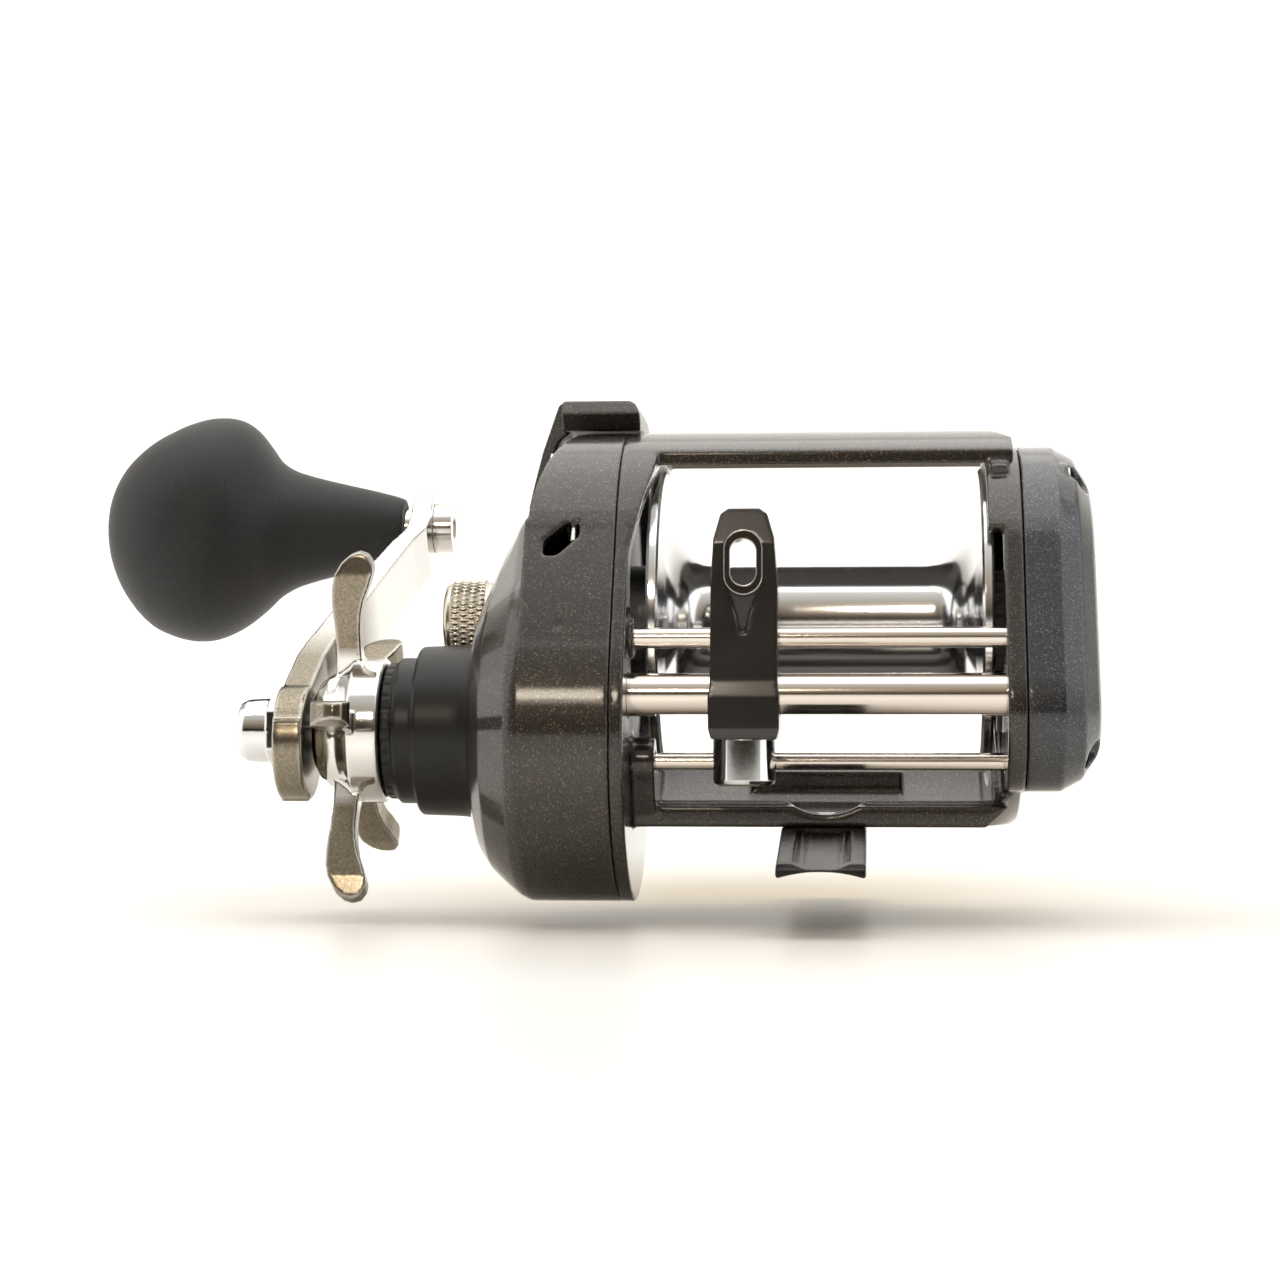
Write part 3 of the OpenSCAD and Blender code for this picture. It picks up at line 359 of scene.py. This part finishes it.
# name, base colour, roughness, brush scale, scratch strength, bevel radius,
# darkening of the spots, roughness spread
METALS = [
    ("cast_alloy", (0.56, 0.56, 0.57), 0.42, (1500, 1500, 1500), 0.2, 0.00025, 0.12, 0.12),
    ("knurled_alloy", (0.62, 0.575, 0.49), 0.2, (900, 900, 900), 0.04, 0.0001, 0.12, 0.12),
    ("nut_chrome", (0.80, 0.80, 0.81), 0.06, (700, 700, 700), 0.02, 0.00025, 0.03, 0.05),
    ("insert_chrome", (0.82, 0.825, 0.83), 0.06, (800, 800, 800), 0.02, 0.00025, 0.02, 0.05),
    ("bar_steel", (0.78, 0.715, 0.655), 0.13, (60, 5200, 5200), 0.05, 0.00025, 0.04, 0.12),
    ("shaft_steel", (0.66, 0.66, 0.67), 0.2, (1800, 500, 500), 0.05, 0.00025, 0.12, 0.12),
    ("bearing_steel", (0.72, 0.72, 0.74), 0.16, (1800, 500, 500), 0.04, 0.00025, 0.12, 0.12),
    ("spring_steel", (0.5, 0.5, 0.52), 0.26, (1800, 500, 500), 0.05, 0.00025, 0.12, 0.12),
    ("screw_steel", (0.80, 0.785, 0.76), 0.16, (500, 1500, 1500), 0.04, 0.00025, 0.12, 0.12),
    ("gear_brass", (0.80, 0.60, 0.28), 0.24, (900, 900, 900), 0.06, 0.00025, 0.12, 0.12),
]
for row in PAINTS:
    metallic_paint(*row)
for row in PLASTICS:
    plastic(*row)
for row in METALS:
    metal(*row)
spool_alloy()
knob_foam()
polished_alloy()


# ------------------------------------------------------------------ mesh helpers
def link_object(name, data):
    ob = bpy.data.objects.new(name, data)
    bpy.context.scene.collection.objects.link(ob)
    return ob


def shade_smooth(mesh):
    for face in mesh.polygons:
        face.use_smooth = True


def stand_in(ob, body, node):
    """Let the object move with a body and take the place of a CAD node."""
    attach(ob, body)
    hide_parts(node)


def revolve(name, profile, axis_y, axis_z, segments, shape, material):
    """Turn a profile of (radius, x) in mm round an axis along X; shape moves each point."""
    bm = bmesh.new()
    rows = []
    for r, x in profile:
        if r == 0:
            rows.append([bm.verts.new((x * MM, axis_y, axis_z))])
            continue
        row = []
        for i in range(segments):
            angle = 2 * math.pi * i / segments
            radius, along = shape(r, x, angle)
            y = axis_y + radius * MM * math.cos(angle)
            z = axis_z + radius * MM * math.sin(angle)
            row.append(bm.verts.new((along * MM, y, z)))
        rows.append(row)
    for p, q in zip(rows, rows[1:]):
        for i in range(segments):
            j = (i + 1) % segments
            if len(p) == 1:
                bm.faces.new((p[0], q[i], q[j]))
            elif len(q) == 1:
                bm.faces.new((p[i], q[0], p[j]))
            else:
                bm.faces.new((p[i], q[i], q[j], p[j]))
    bmesh.ops.recalc_face_normals(bm, faces=bm.faces)
    mesh = bpy.data.meshes.new(name)
    bm.to_mesh(mesh)
    bm.free()
    ob = link_object(name, mesh)
    mesh.materials.append(material)
    shade_smooth(mesh)
    return ob


def spline(points, steps):
    """Catmull-Rom curve through the points, with so many steps per span."""
    curve = []
    padded = [points[0], *points, points[-1]]
    for span in zip(padded, padded[1:], padded[2:], padded[3:]):
        for k in range(steps):
            t = k / steps
            curve.append(tuple(
                0.5 * (2 * b + (c - a) * t + (2 * a - 5 * b + 4 * c - d) * t * t
                       + (3 * b - a - 3 * c + d) * t ** 3)
                for a, b, c, d in zip(*span)))
    curve.append(points[-1])
    return curve


# ------------------------------------------------------------------ CAD pieces
def dress_cad_nodes():
    """Give each CAD node its material and smooth faces that split at hard edges."""
    for name, ob in NODES.items():
        mesh = ob.data
        material = MATERIALS[SLOTS[name]]
        if not mesh.materials:
            mesh.materials.append(material)
        for i in range(len(mesh.materials)):
            mesh.materials[i] = material
        shade_smooth(mesh)
        if "custom_normal" in mesh.attributes:
            mesh.attributes.remove(mesh.attributes["custom_normal"])
        ob.modifiers.new("weld", "WELD").merge_threshold = 2e-6
        ob.modifiers.new("edges", "EDGE_SPLIT").split_angle = math.radians(24)


# ------------------------------------------------------------------ knob
# (radius, x) in mm, from the outer tip to the neck beside the arm
KNOB_OUTLINE = [
    (0.0, -125.3), (3.6, -125.1), (7.4, -124.1), (10.9, -122.3), (13.9, -119.8),
    (16.3, -116.9), (18.1, -113.5), (19.2, -110.0), (19.5, -106.9), (18.9, -103.8),
    (17.2, -100.8), (14.6, -98.0), (12.0, -95.6), (10.3, -92.9), (9.3, -90.0),
    (8.5, -87.0), (7.65, -83.4), (6.75, -79.4), (5.8, -75.6), (5.3, -74.0),
]
# (radius, x) in mm: rounded inner rim, then the bore
KNOB_BORE = [(5.05, -73.52), (4.7, -73.41), (3.4, -73.4), (3.4, -76.0), (3.4, -76.5)]
KNOB_MAX_RADIUS = 19.47
KNOB_LEAN = 0.105  # shift along X per unit of height off the knob axis
LEAN_START_X = -92.5
LEAN_BLEND = 12.0  # length over which the lean sets in
TIP_BLEND = 10.0  # length over which it fades towards the tip


def lean_bulb(r, x, angle):
    """Lean the bulb, so its upper side sits nearer the reel than its lower side."""
    bulb = min(1.0, max(0.0, (LEAN_START_X - x) / LEAN_BLEND))
    bulb = bulb * bulb * (3 - 2 * bulb)
    tip = min(1.0, max(0.0, (x - KNOB_OUTLINE[0][1]) / TIP_BLEND))
    return r, x + KNOB_LEAN * bulb * tip * r * math.sin(angle)


def build_knob():
    outline = [(min(r, KNOB_MAX_RADIUS), x) for r, x in spline(KNOB_OUTLINE, steps=5)]
    knob = revolve("knob_skin", outline + KNOB_BORE, KNOB_Y, KNOB_Z, segments=144,
                   shape=lean_bulb, material=MATERIALS["knob_foam"])
    stand_in(knob, "knob", "handle_knob")


# ------------------------------------------------------------------ cast-control cap
# (radius, x) in mm: the outer face, then the inner rim and the hollow behind it
CAP_FACE = [(0.0, -58.6), (4.9, -58.6), (5.6, -58.35), (5.95, -57.9), (6.0, -57.45), (6.25, -57.3)]
CAP_HOLLOW = [
    (6.25, -52.2), (6.1, -51.95), (6.1, -51.05), (5.95, -50.98), (5.08, -50.98),
    (5.05, -51.1), (5.05, -56.95), (5.0, -57.0), (0.0, -57.0),
]
KNURL_RADIUS = 6.6
KNURL_START_X = -57.2
KNURL_WIDTH = 4.8
KNURL_ROWS = 34
KNURL_GROOVES = 46  # round the cap, in each slant
KNURL_ADVANCE = 0.4  # mm along X per radian of groove phase
KNURL_DEPTH = 0.30


def cut_knurl(r, x, angle):
    """Cut two crossing sets of slanted grooves into the knurled band."""
    if r < KNURL_RADIUS:
        return r, x
    turn = KNURL_GROOVES * angle
    slant = x / KNURL_ADVANCE
    groove = max(abs(math.sin((turn + slant) / 2)), abs(math.sin((turn - slant) / 2)))
    return r - KNURL_DEPTH * groove ** 4, x


def build_cast_control_cap():
    band = [(KNURL_RADIUS, KNURL_START_X + KNURL_WIDTH * i / KNURL_ROWS)
            for i in range(KNURL_ROWS + 1)]
    cap = revolve("cast_control_knurled_cap", CAP_FACE + band + CAP_HOLLOW, 0.0, SPOOL_Z,
                  segments=368, shape=cut_knurl, material=MATERIALS["knurled_alloy"])
    cap.modifiers.new("edges", "EDGE_SPLIT").split_angle = math.radians(38)
    stand_in(cap, "cast_control", "cast_control_cap")


# ------------------------------------------------------------------ rounded pieces
# CAD node, how it is made, body it rides, voxel size, smoothing passes
ROUNDED_PIECES = [
    ("star_drag", "forged", "star", 0.00020, 8),
    ("handle_arm", "forged", "crank", 0.00026, 9),
    ("clutch_lever", "cast", "clutch", 0.00022, 7),
    ("line_guide", "cast", "guide", 0.00018, 4),
    ("reel_foot", "cast", "base", 0.00024, 5),
    ("frame", "cast", "base", 0.00030, 7),
    ("gear_side_cover", "cast", "base", 0.00028, 6),
    ("palm_side_cover", "cast", "base", 0.00028, 4),
    ("hub_housing", "moulded", "base", 0.00020, 3),
    ("handle_nut", "turned", "crank", 0.00014, 3),
]


def round_piece(node, making, body, voxel, passes):
    """A copy of a CAD node with its hard edges rounded, as a casting or forging has them."""
    ob = link_object(f"{node}_{making}", NODES[node].data.copy())
    ob.data.materials.clear()
    ob.data.materials.append(MATERIALS[SLOTS[node]])
    ob.modifiers.new("weld", "WELD").merge_threshold = 1e-6
    remesh = ob.modifiers.new("remesh", "REMESH")
    remesh.mode = "VOXEL"
    remesh.voxel_size = voxel
    remesh.use_smooth_shade = True
    smooth = ob.modifiers.new("smooth", "SMOOTH")
    smooth.factor = 0.5
    smooth.iterations = passes

    depsgraph = bpy.context.evaluated_depsgraph_get()
    rounded = bpy.data.meshes.new_from_object(ob.evaluated_get(depsgraph))
    ob.modifiers.clear()
    sharp = ob.data
    ob.data = rounded
    bpy.data.meshes.remove(sharp)
    shade_smooth(rounded)
    stand_in(ob, body, node)


def build_yoke_springs():
    """A copy of the yoke springs, riding the base body in place of the CAD node."""
    springs = link_object("yoke_springs_wire", NODES["yoke_springs"].data.copy())
    stand_in(springs, "base", "yoke_springs")
    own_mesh(springs)


dress_cad_nodes()
build_knob()
build_cast_control_cap()
for row in ROUNDED_PIECES:
    round_piece(*row)
build_yoke_springs()


# ------------------------------------------------------------------ room
def floor_material():
    """A pale table, with a warm brown painted shadow right under the reel."""
    s = Surface("floor")
    vector = s.mapped()
    cloud = s.noise(vector, scale=14.0, detail=3.0)
    pale = s.ramp(cloud, [(0.3, (0.94, 0.93, 0.905)), (0.7, (0.96, 0.95, 0.93))])
    # painted shadow: a soft brown spot under the reel that fades out to the pale table colour
    shadow_spot = s.add("ShaderNodeMapping", {
        "Location": (-0.012, 0.050, FLOOR_Z),
        "Scale": (0.115, 0.17, 1.0),
        "Vector": vector,
    }, vector_type="TEXTURE")
    falloff = s.add("ShaderNodeTexGradient", {"Vector": shadow_spot.outputs[0]},
                    gradient_type="SPHERICAL").outputs["Fac"]
    shade = s.grey_ramp(falloff, [(0.0, 0), (0.45, 0.42), (0.85, 0.95), (1.0, 1)])
    s.set({
        "Base Color": s.mix(shade, pale, (0.47, 0.39, 0.27)),
        "Roughness": 0.35,
        "Specular IOR Level": 0.25,
    })


def build_floor():
    """A floor that sweeps up into a wall behind the reel."""
    half_width = 2.5
    sweep_start, sweep_radius, sweep_steps = 0.35, 0.45, 12
    wall_height = 2.2
    profile = [(-1.2, 0.0), (-0.2, 0.0), (sweep_start, 0.0)]  # (y, height)
    for i in range(1, sweep_steps + 1):
        angle = math.pi / 2 * i / sweep_steps
        y = sweep_start + sweep_radius * math.sin(angle)
        profile.append((y, sweep_radius * (1 - math.cos(angle))))
    profile.append((sweep_start + sweep_radius, wall_height))
    verts = [(x, y, FLOOR_Z + z) for y, z in profile for x in (-half_width, half_width)]
    faces = [(2 * i, 2 * i + 1, 2 * i + 3, 2 * i + 2) for i in range(len(profile) - 1)]
    mesh = bpy.data.meshes.new("floor")
    mesh.from_pydata(verts, [], faces)
    ob = link_object("floor", mesh)
    mesh.materials.append(MATERIALS["floor"])
    shade_smooth(mesh)


def place(ob, location, target):
    """Put a light or camera somewhere, looking at a target."""
    ob.location = location
    ob.rotation_mode = "QUATERNION"
    ob.rotation_quaternion = (Vector(target) - Vector(location)).to_track_quat("-Z", "Y")


REEL = (0, 0, 0.03)
# name, location, target, size, power, colour
LIGHTS = [
    ("top", (0.0, 0.10, 0.80), REEL, 1.3, 5.0, (1.0, 0.985, 0.96)),
    ("left", (-0.80, -0.05, 0.35), REEL, 0.8, 1.6, (1.0, 0.99, 0.98)),
    ("right", (0.80, -0.10, 0.35), REEL, 0.8, 1.6, (0.96, 0.98, 1.0)),
    ("front", (-0.12, -0.60, 0.27), REEL, 0.16, 0.55, (1.0, 0.88, 0.72)),
    ("wall", (0.0, 0.25, 0.9), (0, 0.8, 0.25), 1.2, 3.0, (1, 1, 1)),
]
LIGHT_HEIGHTS = {"front": 0.07}  # the lights that are not square


def build_lights():
    for name, location, target, size, power, colour in LIGHTS:
        light = bpy.data.lights.new(name, "AREA")
        light.energy = power
        light.color = colour
        light.size = size
        if name in LIGHT_HEIGHTS:
            light.shape = "RECTANGLE"
            light.size_y = LIGHT_HEIGHTS[name]
        place(link_object(name, light), location, target)


def build_world():
    """A pale room that is dim and brown in a low band behind the camera."""
    world = bpy.data.worlds.new("studio")
    bpy.context.scene.world = world
    g = Graph(world)
    output = g.add("ShaderNodeOutputWorld")
    background = g.add("ShaderNodeBackground", {1: 0.74})
    g.feed(output, {0: background.outputs[0]})
    _, y, z = g.split("ShaderNodeSeparateXYZ", g.coords("Generated"))
    behind = g.grey_ramp(g.math("MULTIPLY_ADD", y, 0.5, 0.5),
                         [(0.0, 1), (0.10, 1), (0.26, 0.55), (0.44, 0), (1.0, 0)])
    band = g.ramp(g.math("ABSOLUTE", g.math("ADD", z, 0.03)), [
        (0.0, (0.030, 0.021, 0.013)), (0.10, (0.040, 0.029, 0.018)),
        (0.17, (0.16, 0.12, 0.080)), (0.34, (0.34, 0.27, 0.20)),
        (0.60, (0.60, 0.54, 0.45)), (0.85, (0.92, 0.90, 0.85)), (1.0, (1, 1, 0.98)),
    ])
    g.feed(background, {0: g.mix(behind, (0.97, 0.96, 0.925), band)})


def build_camera():
    data = bpy.data.cameras.new("camera")
    data.lens = 78.8
    data.sensor_width = 36.0
    data.clip_start = 0.01
    data.clip_end = 10.0
    camera = link_object("camera", data)
    place(camera, (0.0068, -0.431, SPOOL_Z - 0.0159), (-0.0286, 0.0, SPOOL_Z - 0.00285))
    bpy.context.scene.camera = camera


floor_material()
build_floor()
build_lights()
build_world()
build_camera()
bpy.context.scene.view_settings.view_transform = "Standard"
